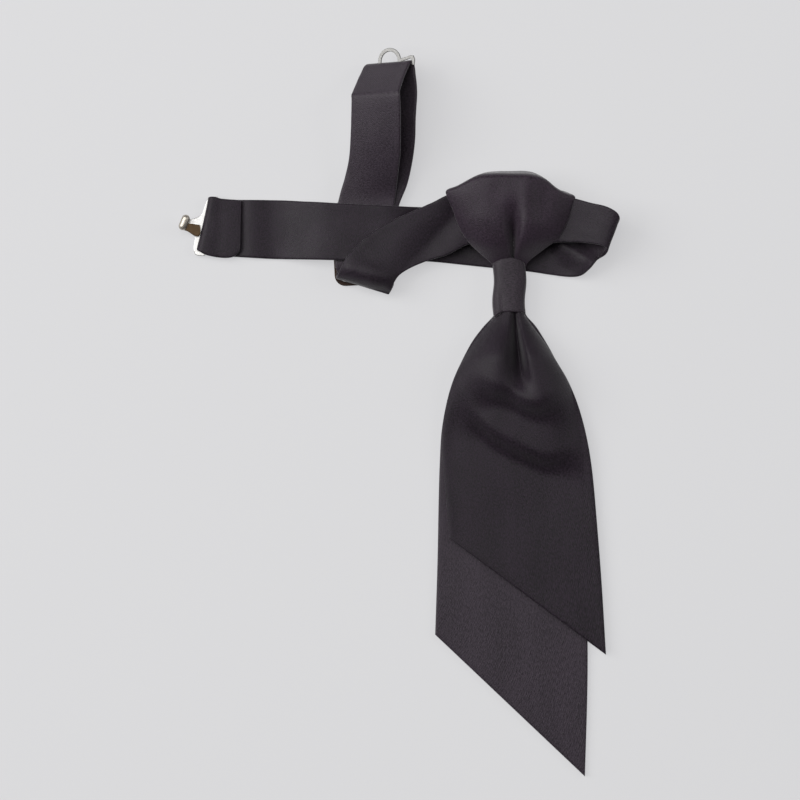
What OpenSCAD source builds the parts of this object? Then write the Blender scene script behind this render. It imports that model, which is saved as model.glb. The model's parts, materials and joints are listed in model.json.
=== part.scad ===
// Pre-tied satin cravat (tulip tie): a small cloth ring holds two diagonal-cut tails and a
// puffed drape, which loops over an adjustable hook-and-eye neckband.  It lies flat, face up.
// Origin: centre of the ring on the surface it lies on.  +Y runs up to the neckband.

/* [Neckband] */
// Width of the neckband cloth
band_w = 25; // [23:0.5:25.5]
// Thickness of the folded band, cloth and interlining together
band_t = 1.3; // [1.2:0.05:1.4]
// Thickness of one ply of satin
ply_t = 0.35; // [0.3:0.05:0.4]

/* [Knot] */
// Width of the ring across the tails
ring_w = 15.4; // [14:0.2:17]
// Length of the ring along the tails
ring_l = 25; // [23:0.5:26]
// Height of the ring above the surface
ring_h = 9.6; // [9.4:0.1:11]
// Wall of the ring
ring_t = 1.2; // [1:0.1:1.4]
// Height of the drape at its crown
drape_h = 18.5; // [17:0.5:21]

/* [Tails] */
// Thickness of a tail, both faces and interlining together
tail_t = 1.7; // [1.5:0.1:1.9]
// How far the interlining stops short of a tail's seams
seam_allowance = 1.2; // [0.8:0.1:2]

/* [Metal] */
// Diameter of the wire bars that the band is folded round
bar_d = 1.2; // [1:0.05:1.2]
// Thickness of the stamped hook and eye
plate_t = 1; // [0.8:0.1:1.1]
// Travel of the adjuster along the band
adjust_travel = 24; // [10:1:24]

/* [Hidden] */
$fn = 48;

gap = 0.3;           // clearance between pieces that move past each other
layer_gap = 0.1;     // clearance between layers of one sewn piece
satin = [0.17, 0.16, 0.18];
lining = [0.24, 0.23, 0.25];
wool = [0.75, 0.72, 0.66];
thread = [0.1, 0.1, 0.11];
nickel = [0.78, 0.77, 0.74];

// ---- Curves and lofts -------------------------------------------------------------------

function unit(v) = v / norm(v);
function last(list) = list[len(list) - 1];

// Catmull-Rom curve through every station, with n steps between two of them
function on_curve(a, b, c, d, t) =
    0.5 * (2 * b + (c - a) * t + (2 * a - 5 * b + 4 * c - d) * t ^ 2 + (3 * b - a - 3 * c + d) * t ^ 3);
function curve(stations, n) = concat(
    [for (i = [0 : len(stations) - 2]) for (k = [0 : n - 1])
        on_curve(
            stations[max(i - 1, 0)], stations[i], stations[i + 1],
            stations[min(i + 2, len(stations) - 1)], k / n
        )],
    [last(stations)]
);

// Solid through a list of closed sections of 2n points: n along one side, n back along the other.
// The diagonals of the first points run one way and the rest the other way, so that two surfaces
// that face each other crease alike where the sections twist.
module loft(sections, first = undef) {
    m = len(sections[0]);
    change = is_undef(first) ? m / 2 : first;
    count = len(sections);
    sides = [for (i = [0 : count - 2]) for (k = [0 : m - 1])
        let (a = i * m + k, b = i * m + (k + 1) % m)
        each k < change
            ? [[a, b, b + m], [a, b + m, a + m]]
            : [[a, b, a + m], [b, b + m, a + m]]];
    start_cap = [for (k = [0 : m / 2 - 2]) let (a = m - 1 - k) each [[k, a, k + 1], [a, a - 1, k + 1]]];
    end = (count - 1) * m;
    end_cap = [for (face = start_cap) [end + face[0], end + face[2], end + face[1]]];
    polyhedron(points = [for (s = sections) each s], faces = concat(sides, start_cap, end_cap));
}

// A band station is [x, y, z, heading of the width, tilt of the width]
function place(s) = [s[0], s[1], s[2]];
function width_dir(s) = [cos(s[3]) * cos(s[4]), sin(s[3]) * cos(s[4]), sin(s[4])];
function along(route, i) =
    unit(place(route[min(i + 1, len(route) - 1)]) - place(route[max(i - 1, 0)]));

// Section of a band at station i: outline points are given as [across, up]
function band_section(route, i, outline) =
    let (
        across = width_dir(route[i]),
        up = unit(cross(across, along(route, i)))
    )
    [for (p = outline) place(route[i]) + across * p[0] + up * p[1]];

// Flattened tube with its seam, a narrow slit, in the middle of the back
seam_w = 0.3;
function tube_side(w, t) = [
    [seam_w / 2, -t / 2], [w / 2, -t / 2], [w / 2, t / 2], [seam_w / 2, t / 2],
    [-seam_w / 2, t / 2], [-w / 2, t / 2], [-w / 2, -t / 2], [-seam_w / 2, -t / 2]
];
function reversed(list) = [for (i = [len(list) - 1 : -1 : 0]) list[i]];
tube_outline = reversed(concat(
    tube_side(band_w, band_t), reversed(tube_side(band_w - 2 * ply_t, band_t - 2 * ply_t))
));
module band_cloth(route) {
    color(satin) loft([for (i = [0 : len(route) - 1]) band_section(route, i, tube_outline)]);
}

// The tube holds a strip of interlining
core_w = band_w - 2 * ply_t - 2 * layer_gap;
core_t = band_t - 2 * ply_t - layer_gap;
core_outline = [
    [-core_w / 2, core_t / 2], [-seam_w / 2, core_t / 2], [seam_w / 2, core_t / 2],
    [core_w / 2, core_t / 2], [core_w / 2, -core_t / 2], [seam_w / 2, -core_t / 2],
    [-seam_w / 2, -core_t / 2], [-core_w / 2, -core_t / 2]
];
module band_interlining(route) {
    color(wool) loft([for (i = [1 : len(route) - 2]) band_section(route, i, core_outline)], 0);
}

// Row of stitches between two points, on cloth that is level along the row
stitch_w = 0.4;
stitch_h = 0.3;
stitch_pitch = 3;
stitch_l = 2.2;
module stitches(from, to) {
    run = to - from;
    count = floor(norm(run) / stitch_pitch);
    color(thread) for (i = [0 : count - 1])
        translate(from + run * (i + 0.5) / count)
            rotate([0, 0, atan2(run[1], run[0])])
                translate([-stitch_l / 2, -stitch_w / 2, 0]) cube([stitch_l, stitch_w, stitch_h]);
}

// ---- Routes of the band -----------------------------------------------------------------

bar_turn = 1.3;      // radius of the band's middle where it turns round a bar
hook_cut_x = -82;    // the hook strap bends here
loop_cut_y = 42;     // the eye strap bends here

// Over the doubled strap, under the drape, round the right-hand curl, back through the drape
// and out to the roll at the lower left
crossing_z = 7.2;
roll_axis = -19.5;   // heading of the roll's axis
roll_r = 3.3;
strap_x = -62.4;     // middle of the doubled strap
strap_z = 2.2;
adjuster_y = 9.3;    // middle of the adjuster at rest
band_end_y = adjuster_y + adjust_travel + 8;
roll_at = [-61.9, 5, strap_z + roll_r];
roll_stations = [for (turn = [0 : 20 : 180]) [
    roll_at[0] + roll_r * sin(turn) * sin(roll_axis),
    roll_at[1] - roll_r * sin(turn) * cos(roll_axis),
    roll_at[2] + roll_r * cos(turn),
    roll_axis, 0
]];
neckband_route = concat(
    curve([
        [hook_cut_x + gap / 2, 24.3, 6.7, -91, 0], [-74, 24.2, crossing_z, -91, 0],
        [-62, 24, crossing_z, -91, 0], [-50, 23.8, crossing_z, -91, 0], [-40.5, 23.5, 4, -92, 0],
        [-31, 23, 1.1, -93, 0], [-23, 22.4, band_t / 2, -94, 0],
        [-6, 20.9, band_t / 2, -95, 0], [10, 19.2, band_t / 2, -97, 0],
        [25, 17, band_t / 2, -99, 0], [36, 17.6, 2.6, -103, 0], [42.3, 19.5, 6, -105, 0],
        [43, 22, 9.5, -106, 0], [39, 25, 12, -106, 0], [31, 27.6, 11.8, -102, 0],
        [20, 29.2, 9.4, -97, 0], [6, 30, 7.4, -92, 0], [-8, 30, 7, -88, 0],
        [-23, 29.3, 7.6, -66, 0], [-33.5, 24, 8.5, -60, 0], [-43, 19.5, 9, -53, 0],
        [-52, 14, 9.1, -43, 0], [-58, 9.2, 9, -31, 0], [-60.6, 6.4, 8.9, -23, 0]
    ], 3),
    roll_stations,
    curve([
        [-62.1, 8, strap_z, -12, 0], [strap_x, 12, strap_z, -6, 0], [strap_x, 18, strap_z, 0, 0],
        [strap_x, 24, strap_z, 0, 0], [strap_x, band_end_y, strap_z, 0, 0]
    ], 2)
);

// The hook strap runs out, turns up round the hook's bar and comes back as a sewn flap
hook_at = [-129.5, 27.2, band_t / 2 + bar_turn];
hook_axis = -101.5;
hook_out = hook_axis - 90;
hook_turn_stations = [for (turn = [0 : 30 : 180]) [
    hook_at[0] + bar_turn * sin(turn) * cos(hook_out),
    hook_at[1] + bar_turn * sin(turn) * sin(hook_out),
    hook_at[2] - bar_turn * cos(turn),
    hook_axis, 0
]];
flap_z = band_t * 1.5 + layer_gap;
hook_strap_route = concat(
    curve([
        [hook_cut_x - gap / 2, 24.3, 6.7, -91, 0], [-90, 24.5, 4, -91, 0],
        [-98, 24.7, 1.3, -91, 0], [-106, 24.9, band_t / 2, -92, 0],
        [-118, 25.5, band_t / 2, -96, 0], [-127, 26.8, band_t / 2, -100.5, 0]
    ], 3),
    hook_turn_stations,
    curve([
        [-127.2, 26.8, flap_z + 0.7, -100.5, 0], [-123, 26.1, flap_z + 0.1, -99, 0],
        [-115.8, 25.2, flap_z, -96, 0]
    ], 2)
);

// The doubled strap: an upper layer sewn round the adjuster and a lower layer through it
upper_z = 5.4;
lower_z = 3.8;
loop_upper_route = curve([
    [strap_x, adjuster_y + 2.2, upper_z, 0, 0], [strap_x, 20, upper_z, 0, 0],
    [strap_x, 31, upper_z, 0, 0], [strap_x, loop_cut_y - gap / 2, upper_z, 0, 0]
], 2);
loop_lower_route = curve([
    [strap_x, 19.5, lower_z, 0, 0], [strap_x, 27, lower_z, 0, 0], [strap_x, 34, lower_z, 0, 0],
    [strap_x, loop_cut_y - gap / 2, lower_z, 0, 0]
], 2);

// The eye strap climbs on its edge, creases over, turns round the eye's bar and comes back
eye_at = [-51.8, 94.2, 9.2];
eye_tilt = 32;
eye_turn_stations = [for (turn = [30 : 30 : 180]) [
    eye_at[0] - bar_turn * cos(turn) * sin(eye_tilt),
    eye_at[1] + bar_turn * sin(turn),
    eye_at[2] + bar_turn * cos(turn) * cos(eye_tilt),
    0, eye_tilt
]];
eye_strap_route = concat(
    curve([
        [strap_x, loop_cut_y + gap / 2, upper_z, 0, 0], [-60.4, 50, 9, 0, 13],
        [-58.2, 62, 15.5, 0, 25], [-57.6, 74, 19.6, 0, 30], [-57.4, 81, 20.2, 0, 31],
        [-54.4, 88.6, 15, 0, eye_tilt], [-52.9, 92.6, 11.4, 0, eye_tilt]
    ], 3),
    eye_turn_stations,
    curve([
        [-50.9, 91.6, 8, 0, 32], [-50, 84, 7.6, 0, 30], [-51, 72, 7.2, 0, 28], [-53.4, 60, 6.2, 0, 22],
        [-58.4, 50, 4.8, 0, 10], [strap_x, loop_cut_y + gap / 2, lower_z, 0, 0]
    ], 3)
);

// ---- Drape and tails --------------------------------------------------------------------

// A sheet station is [left x, left y, right x, right y, height of the middle, crown]:
// the crown is how much lower the sheet's edges lie than its middle
across_steps = 6;
function sheet_point(s, f) = [
    s[0] + (s[2] - s[0]) * f,
    s[1] + (s[3] - s[1]) * f,
    s[4] - s[5] * (2 * f - 1) ^ 2
];
function sheet_section(s, z, t, inset) =
    let (trim = inset / norm([s[2] - s[0], s[3] - s[1]]))
    concat(
        [for (k = [0 : across_steps])
            sheet_point(s, trim + (1 - 2 * trim) * k / across_steps) + [0, 0, z + t]],
        [for (k = [across_steps : -1 : 0])
            sheet_point(s, trim + (1 - 2 * trim) * k / across_steps) + [0, 0, z]]
    );
module sheet(stations, z, t, inset = 0, trim = 0) {
    loft([for (i = [trim : len(stations) - 1 - trim]) sheet_section(stations[i], z, t, inset)]);
}

tail_top_y = -ring_l / 2 - gap;

// The front tail leaves the ring high and comes down onto the back tail
front_tail_edges = curve([
    [-6.5, tail_top_y, 6.5, tail_top_y, 6.8, 0.5], [-10.5, -16, 10.5, -16, 7, 1],
    [-16, -23, 16, -23, 7.4, 2], [-21, -32, 21, -32, 7.8, 3], [-25, -41, 26, -41, 7.4, 3],
    [-28, -52, 30, -52, 6, 2.4], [-29, -66, 33, -66, 4.6, 1.6], [-28.5, -80, 35, -84, 3.6, 1],
    [-27, -96, 37.5, -112, 2.4, 0.3], [-26, -108, 40.6, -156, 2.1, 0]
], 2);

// The back tail lies on the surface
back_tail_edges = curve([
    [-6.5, tail_top_y, 6.5, tail_top_y, 2.4, 0.2], [-10, -17, 10, -17, 1.4, 0.4],
    [-18, -28, 18, -28, 0.6, 0.4], [-25, -45, 26, -45, 0.2, 0.2], [-30, -75, 31, -75, 0, 0],
    [-31, -110, 32.5, -120, 0, 0], [-31.5, -130, 32.7, -160, 0, 0],
    [-31.8, -148, 30.8, -208.5, 0, 0]
], 2);

tail_ply_t = 0.45;
tail_core_t = tail_t - 2 * tail_ply_t - 2 * layer_gap;
module tail_back(edges) {
    color(lining) sheet(edges, 0, tail_ply_t);
}
module tail_interlining(edges) {
    color(wool) sheet(edges, tail_ply_t + layer_gap, tail_core_t, seam_allowance, trim = 1);
}
module tail_face(edges) {
    color(satin) sheet(edges, tail_t - tail_ply_t, tail_ply_t);
}

// The drape goes up from the ring, over the neckband and back beneath it.  A station is
// [left x, right x, y, height of the middle, crown, lean of the cloth's face from upright]
drape_t = 1;
drape_top_y = 47.5;
drape_under_z = band_t + gap + drape_t / 2;
drape_stations = [
    [-7, 7, ring_l / 2 + gap, 6.6, 0.5, 40], [-11, 10.5, 16, 11.4, 2, 52],
    [-20.5, 19, 21, 14.6, 2.6, 62], [-24.5, 24, 29, 17.2, 3, 78],
    [-26.5, 27.5, 37, drape_h - drape_t / 2, 3, 95], [-24, 26, 43, 15.6, 2.2, 125],
    [-20, 20, drape_top_y, 9.4, 1.4, 180], [-22, 22, 43.5, 3.2, 0.6, 245],
    [-23, 22, 37, drape_under_z, 0, 268], [-20, 19, 28, drape_under_z, 0, 270],
    [-7, 7, ring_l / 2 + gap, drape_under_z + 0.1, 0, 270]
];
function drape_point(s, f, side) = [
    s[0] + (s[1] - s[0]) * f,
    s[2] - side * drape_t / 2 * cos(s[5]),
    s[3] - s[4] * (2 * f - 1) ^ 2 + side * drape_t / 2 * sin(s[5])
];
function drape_section(s) = concat(
    [for (k = [0 : across_steps]) drape_point(s, k / across_steps, 1)],
    [for (k = [across_steps : -1 : 0]) drape_point(s, k / across_steps, -1)]
);

module knot_drape() {
    color(satin) loft([for (s = curve(drape_stations, 2)) drape_section(s)]);
}

// ---- Ring -------------------------------------------------------------------------------

ring_corner = 3;
module rounded(w, h, r) {
    translate([-w / 2 + r, 0]) square([w - 2 * r, h]);
    translate([-w / 2, r]) square([w, h - 2 * r]);
    for (x = [-w / 2 + r, w / 2 - r]) for (y = [r, h - r]) translate([x, y]) circle(r);
}
module along_y(length) {
    translate([0, length / 2, 0]) rotate([90, 0, 0]) linear_extrude(length) children();
}

// The back of the ring stops short at the top, where the neckband passes under it
pass_y = 6.5;
module neckband_pass() {
    translate([-ring_w, pass_y, -1]) cube([2 * ring_w, ring_l, 1 + band_t + gap]);
}

module knot_ring() {
    color(satin) difference() {
        along_y(ring_l) difference() {
            rounded(ring_w, ring_h, ring_corner);
            translate([0, ring_t]) rounded(ring_w - 2 * ring_t, ring_h - 2 * ring_t, ring_corner - ring_t);
        }
        neckband_pass();
    }
}

// Gathered cloth of the tails where it fills the ring
neck_w = ring_w - 2 * ring_t - 2 * layer_gap;
neck_h = ring_h - 2 * ring_t - 2 * layer_gap;
neck_l = ring_l - 0.8;
neck_corner = ring_corner - ring_t - layer_gap;
neck_split_z = 4.6;
module tail_neck(bottom, top) {
    color(lining) difference() {
        intersection() {
            translate([0, 0, ring_t + layer_gap]) along_y(neck_l) rounded(neck_w, neck_h, neck_corner);
            translate([-neck_w / 2, -ring_l / 2, bottom]) cube([neck_w, ring_l, top - bottom]);
        }
        neckband_pass();
    }
}
module front_tail_neck() { tail_neck(neck_split_z + layer_gap, ring_h); }
module back_tail_neck() { tail_neck(0, neck_split_z); }

// ---- Cloth pieces -----------------------------------------------------------------------

module neckband_cloth() { band_cloth(neckband_route); }
module neckband_interlining() { band_interlining(neckband_route); }
module front_tail_face() { tail_face(front_tail_edges); }
module front_tail_interlining() { tail_interlining(front_tail_edges); }
module front_tail_back() { tail_back(front_tail_edges); }
module back_tail_face() { tail_face(back_tail_edges); }
module back_tail_interlining() { tail_interlining(back_tail_edges); }
module back_tail_back() { tail_back(back_tail_edges); }
module hook_strap_cloth() { band_cloth(hook_strap_route); }
module hook_strap_interlining() { band_interlining(hook_strap_route); }
module loop_upper_cloth() { band_cloth(loop_upper_route); }
module loop_upper_interlining() { band_interlining(loop_upper_route); }
module loop_lower_cloth() { band_cloth(loop_lower_route); }
module loop_lower_interlining() { band_interlining(loop_lower_route); }
module eye_strap_cloth() { band_cloth(eye_strap_route); }
module eye_strap_interlining() { band_interlining(eye_strap_route); }

// The row that holds the flap down, just inside its raw edge
module hook_strap_stitches() {
    stitch_z = flap_z + band_t / 2;
    stitches([-116.6, 36.2, stitch_z], [-119.2, 14.2, stitch_z]);
}

// ---- Metal ------------------------------------------------------------------------------

arm_w = 1;
arm_v = band_w / 2 + gap + arm_w / 2;   // middle of the arms beside the band

// Bar inside the band's turn, with an arm at each end.  Local x runs out, y along the bar
module bar_and_arms(reach) {
    rotate([90, 0, 0]) cylinder(d = bar_d, h = 2 * arm_v + arm_w, center = true);
    for (side = [-1, 1])
        translate([reach / 2, side * arm_v, 0]) cube([reach, arm_w, plate_t], center = true);
}

// Stamped plate with a tongue that rises to a T-shaped head
hook_inner = 2.4;
hook_rise = 28;
head_l = 8;
head_w = 3;
tongue_l = 6.6;
module hook() {
    color(nickel) translate(hook_at) rotate([0, 0, hook_out]) {
        bar_and_arms(hook_inner + 0.4);
        translate([0, 0, -plate_t / 2]) linear_extrude(plate_t) polygon([
            [hook_inner, -arm_v - arm_w / 2], [4.1, -arm_v + 0.2], [4.1, -8.5], [5.2, -6],
            [6.6, -4.6], [6.6, -1.4], [5.2, 0], [3.9, 4], [3.6, arm_v - 0.4],
            [hook_inner, arm_v + arm_w / 2]
        ]);
        translate([6, -3, 0]) rotate([0, -hook_rise, 8]) {
            translate([-1, -1.5, -plate_t / 2]) cube([tongue_l, 3, plate_t]);
            translate([tongue_l - 1.6, 0, 0]) rotate([0, 90, 0]) hook_head();
        }
    }
}
module hook_head() {
    linear_extrude(1.2) {
        square([head_w, head_l - head_w], center = true);
        for (side = [-1, 1]) translate([0, side * (head_l - head_w) / 2]) circle(d = head_w);
    }
}

// Stamped bar with a D-shaped loop
eye_inner = 2.4;
eye_rim = 1.3;
eye_loop_r = 5.4;
module eye() {
    color(nickel) translate(eye_at) rotate([0, -eye_tilt, 0]) rotate([0, 0, 90]) {
        bar_and_arms(eye_inner + 0.4);
        translate([eye_inner, -arm_v - arm_w / 2, -plate_t / 2])
            cube([eye_rim, 2 * arm_v + arm_w, plate_t]);
        difference() {
            translate([eye_inner, 0, 0]) cylinder(r = eye_loop_r, h = plate_t, center = true);
            translate([eye_inner, 0, 0]) cylinder(r = eye_loop_r - eye_rim, h = 2 * plate_t, center = true);
            translate([eye_inner - eye_loop_r, 0, 0]) cube(2 * eye_loop_r, center = true);
        }
    }
}

// Three-bar slide: the band passes over its outer bars and under the middle one
slide_l = 17.8;
slide_h = 4.4;
slide_wall = 0.7;
slide_bar = [1.5, 1.1];
module adjuster() {
    outer_w = band_w + 2 * gap + 2 * slide_wall;
    color(nickel) translate([strap_x, adjuster_y, 0]) {
        for (side = [-1, 1]) {
            translate([side * (outer_w - slide_wall) / 2, 0, slide_h / 2 + 0.4])
                cube([slide_wall, slide_l, slide_h + 0.8], center = true);
            translate([0, side * (slide_l - slide_bar[0]) / 2, slide_bar[1] / 2])
                cube([outer_w, slide_bar[0], slide_bar[1]], center = true);
        }
        translate([0, 0, slide_h + 0.1]) rotate([0, 90, 0])
            cylinder(d = bar_d, h = outer_w - slide_wall, center = true);
    }
}

// Sewn fold that holds the upper layer's end on the middle bar
tab_wall = 0.7;
module adjuster_tab() {
    tab_r = bar_d / 2 + 0.05 + tab_wall;
    color(satin) translate([strap_x, adjuster_y, slide_h + 0.1]) rotate([90, 0, 90]) difference() {
        translate([0, 0, -band_w / 2]) linear_extrude(band_w) {
            circle(tab_r);
            translate([0, tab_r - band_t]) square([2.2 - layer_gap, band_t]);
        }
        cylinder(d = bar_d + 0.1, h = 2 * band_w, center = true);
    }
}
module adjuster_stitches() {
    stitch_y = adjuster_y + 3.4;
    stitch_z = upper_z + band_t / 2;
    stitches(
        [strap_x - band_w / 2 + 1, stitch_y, stitch_z], [strap_x + band_w / 2 - 1, stitch_y, stitch_z]
    );
}

knot_ring();
knot_drape();
front_tail_neck();
back_tail_neck();
neckband_cloth();
neckband_interlining();
front_tail_face();
front_tail_interlining();
front_tail_back();
back_tail_face();
back_tail_interlining();
back_tail_back();
hook_strap_cloth();
hook_strap_interlining();
hook_strap_stitches();
hook();
adjuster();
adjuster_tab();
adjuster_stitches();
loop_upper_cloth();
loop_upper_interlining();
loop_lower_cloth();
loop_lower_interlining();
eye_strap_cloth();
eye_strap_interlining();
eye();
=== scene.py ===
"""Looks of a pre-tied satin cravat that lies flat: two tails held by a cloth ring, a puffed drape
and an adjustable neckband with a nickel hook, eye and adjuster.

Lengths in the shape tables are millimetres in the object's own frame, and MM turns them into
metres.
"""

import json
import math

import bmesh
import bpy
from mathutils import Matrix, Vector, noise


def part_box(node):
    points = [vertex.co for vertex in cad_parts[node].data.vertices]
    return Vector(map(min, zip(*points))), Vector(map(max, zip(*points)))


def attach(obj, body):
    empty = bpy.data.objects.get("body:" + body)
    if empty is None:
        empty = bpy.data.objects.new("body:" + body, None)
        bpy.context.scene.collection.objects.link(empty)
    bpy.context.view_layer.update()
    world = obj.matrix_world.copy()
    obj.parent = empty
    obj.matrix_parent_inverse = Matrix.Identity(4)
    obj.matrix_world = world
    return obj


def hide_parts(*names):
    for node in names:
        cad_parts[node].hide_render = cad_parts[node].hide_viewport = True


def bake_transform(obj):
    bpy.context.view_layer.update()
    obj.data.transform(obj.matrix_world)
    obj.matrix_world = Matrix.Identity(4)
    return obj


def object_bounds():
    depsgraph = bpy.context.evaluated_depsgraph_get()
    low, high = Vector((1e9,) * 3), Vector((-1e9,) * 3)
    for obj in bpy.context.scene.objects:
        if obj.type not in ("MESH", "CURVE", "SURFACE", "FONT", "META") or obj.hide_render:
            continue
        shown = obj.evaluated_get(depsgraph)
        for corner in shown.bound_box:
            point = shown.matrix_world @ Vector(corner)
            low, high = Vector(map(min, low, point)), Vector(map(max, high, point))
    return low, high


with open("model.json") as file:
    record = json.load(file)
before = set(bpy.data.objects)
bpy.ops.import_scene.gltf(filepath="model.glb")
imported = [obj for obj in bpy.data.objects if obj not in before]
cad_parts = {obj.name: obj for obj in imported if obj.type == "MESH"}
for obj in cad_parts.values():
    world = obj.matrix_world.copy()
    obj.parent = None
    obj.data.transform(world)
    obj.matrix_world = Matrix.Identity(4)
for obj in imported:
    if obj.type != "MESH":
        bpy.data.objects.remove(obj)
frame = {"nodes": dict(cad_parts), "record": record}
cad_low, cad_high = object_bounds()

MM = 0.001
BAND_W = 25.0
BAND_T = 1.3
EDGE_REACH = 1.6  # how far in from an edge the mesh is finer
joints = {j["name"]: j for j in frame["record"]["behaviour"]["joints"]}


# ---- Numbers ----------------------------------------------------------------------------

RIM_STEPS = (0, 0.04, 0.15, 0.34, 0.6, 1)


def lerp(a, b, f):
    return a + (b - a) * f


def smooth(f):
    """Soft step from 0 to 1."""
    f = min(max(f, 0.0), 1.0)
    return f * f * (3 - 2 * f)


def bell(x, width):
    """Soft bump of height 1 at x = 0."""
    return math.exp(-((x / width) ** 2))


def through(points, x):
    """Height at x of a smooth line through points, which are (x, height) in rising x."""
    if x <= points[0][0]:
        return points[0][1]
    if x >= points[-1][0]:
        return points[-1][1]
    i = max(k for k, point in enumerate(points[:-1]) if x >= point[0])

    def slope(k):
        a, b = points[max(k - 1, 0)], points[min(k + 1, len(points) - 1)]
        return (b[1] - a[1]) / (b[0] - a[0])

    (x0, y0), (x1, y1) = points[i], points[i + 1]
    span = x1 - x0
    t = (x - x0) / span
    return (
        y0 * (1 + 2 * t) * (1 - t) ** 2 + y1 * t * t * (3 - 2 * t)
        + span * (slope(i) * t * (1 - t) ** 2 + slope(i + 1) * t * t * (t - 1))
    )


def catmull(stations, steps):
    """Points on a smooth curve through every station, steps of them from each to the next."""
    rows = []
    last = len(stations) - 1
    for i in range(last):
        a, b = stations[max(i - 1, 0)], stations[i]
        c, d = stations[i + 1], stations[min(i + 2, last)]
        for k in range(steps):
            t = k / steps
            rows.append([
                0.5 * (2 * q + (r - p) * t + (2 * p - 5 * q + 4 * r - s) * t * t
                       + (3 * q - p - 3 * r + s) * t * t * t)
                for p, q, r, s in zip(a, b, c, d)
            ])
    rows.append(list(stations[-1]))
    return rows


def round_over(inside, rim):
    """Share of the full thickness at a distance inside an edge that is rounded over rim."""
    return math.sqrt(max(0.0, 1 - (1 - min(inside / rim, 1)) ** 2))


def at(curve, f):
    """Point at the fraction f of a list of points."""
    place = min(max(f, 0.0), 1.0) * (len(curve) - 1)
    i = min(int(place), len(curve) - 2)
    return [lerp(a, b, place - i) for a, b in zip(curve[i], curve[i + 1])]


def rim_spaced(count, rim, size):
    """Fractions from 0 to 1, close together within rim of each end of a stretch of that size."""
    edge = [rim / size * f for f in RIM_STEPS]
    middle = [lerp(edge[-1], 1 - edge[-1], k / count) for k in range(1, count)]
    return edge + middle + [1 - e for e in reversed(edge)]


# ---- Materials --------------------------------------------------------------------------


def new_material(name):
    material = bpy.data.materials.new(name)
    material.use_nodes = True
    tree = material.node_tree
    return material, tree, tree.nodes["Principled BSDF"]


def node(tree, kind, inputs, **settings):
    """New node; inputs that are sockets are linked, and others are set."""
    made = tree.nodes.new(kind)
    for key, value in settings.items():
        setattr(made, key, value)
    for key, value in inputs.items():
        if isinstance(value, bpy.types.NodeSocket):
            tree.links.new(value, made.inputs[key])
        else:
            made.inputs[key].default_value = value
    return made


def speckle(tree, vector, scale, detail):
    """Noise between 0 and 1."""
    inputs = {"Vector": vector, "Scale": scale, "Detail": detail}
    return node(tree, "ShaderNodeTexNoise", inputs).outputs["Fac"]


def ramp(tree, value, low, high):
    inputs = {"Value": value, "To Min": low, "To Max": high}
    return node(tree, "ShaderNodeMapRange", inputs).outputs["Result"]


def add_bump(tree, shader, height, strength, distance):
    inputs = {"Height": height, "Strength": strength, "Distance": distance}
    bump = node(tree, "ShaderNodeBump", inputs)
    tree.links.new(bump.outputs[0], shader.inputs["Normal"])


# Grain of the satin, in cycles per metre of cloth
WEAVE_SCALE = 620.0
SLUB_SCALE = 1500.0
FLECK_SCALE = 2300.0
CLOUD_SCALE = 70.0
WARP_STRETCH = (1, 0.6, 1)


def satin(name, dark, light, roughness):
    """Black satin: fine diagonal weave, slubs along the warp, and a soft sheen."""
    material, tree, shader = new_material(name)
    uv = node(tree, "ShaderNodeTexCoord", {}).outputs["UV"]
    weave = node(
        tree, "ShaderNodeTexWave", {"Vector": uv, "Scale": WEAVE_SCALE, "Distortion": 1.2},
        bands_direction="DIAGONAL",
    ).outputs["Fac"]
    warp = node(tree, "ShaderNodeMapping", {"Vector": uv, "Scale": WARP_STRETCH}).outputs[0]
    slub = speckle(tree, warp, SLUB_SCALE, 2.0)
    cloud = speckle(tree, uv, CLOUD_SCALE, 2.0)
    fleck = speckle(tree, uv, FLECK_SCALE, 1.0)
    grain = node(tree, "ShaderNodeMath", {0: slub, 1: fleck}, operation="ADD").outputs[0]
    mottled = node(
        tree, "ShaderNodeMath", {0: cloud, 1: 0.35, 2: grain}, operation="MULTIPLY_ADD"
    ).outputs[0]
    tone = node(
        tree, "ShaderNodeMapRange", {"Value": mottled, "From Min": 0.96, "From Max": 1.40}
    ).outputs["Result"]
    colour = node(tree, "ShaderNodeMixRGB", {"Fac": tone, "Color1": dark, "Color2": light})
    tree.links.new(colour.outputs[0], shader.inputs["Base Color"])
    rough = ramp(tree, slub, roughness - 0.2, roughness + 0.2)
    tree.links.new(rough, shader.inputs["Roughness"])
    shader.inputs["Specular IOR Level"].default_value = 0.27
    shader.inputs["Sheen Weight"].default_value = 0.25
    shader.inputs["Sheen Roughness"].default_value = 0.4
    threads = node(
        tree, "ShaderNodeMath", {0: weave, 1: 0.2, 2: grain}, operation="MULTIPLY_ADD"
    ).outputs[0]
    add_bump(tree, shader, threads, 0.65, 0.00015)
    return material


MARK_SCALE = 900.0


def metal(name, colour, roughness):
    """Metal with faint handling marks."""
    material, tree, shader = new_material(name)
    place = node(tree, "ShaderNodeTexCoord", {}).outputs["Object"]
    marks = speckle(tree, place, MARK_SCALE, 4.0)
    rough = ramp(tree, marks, roughness - 0.07, roughness + 0.1)
    tree.links.new(rough, shader.inputs["Roughness"])
    add_bump(tree, shader, marks, 0.08, 0.00003)
    shader.inputs["Base Color"].default_value = colour
    shader.inputs["Metallic"].default_value = 1.0
    return material


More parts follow.
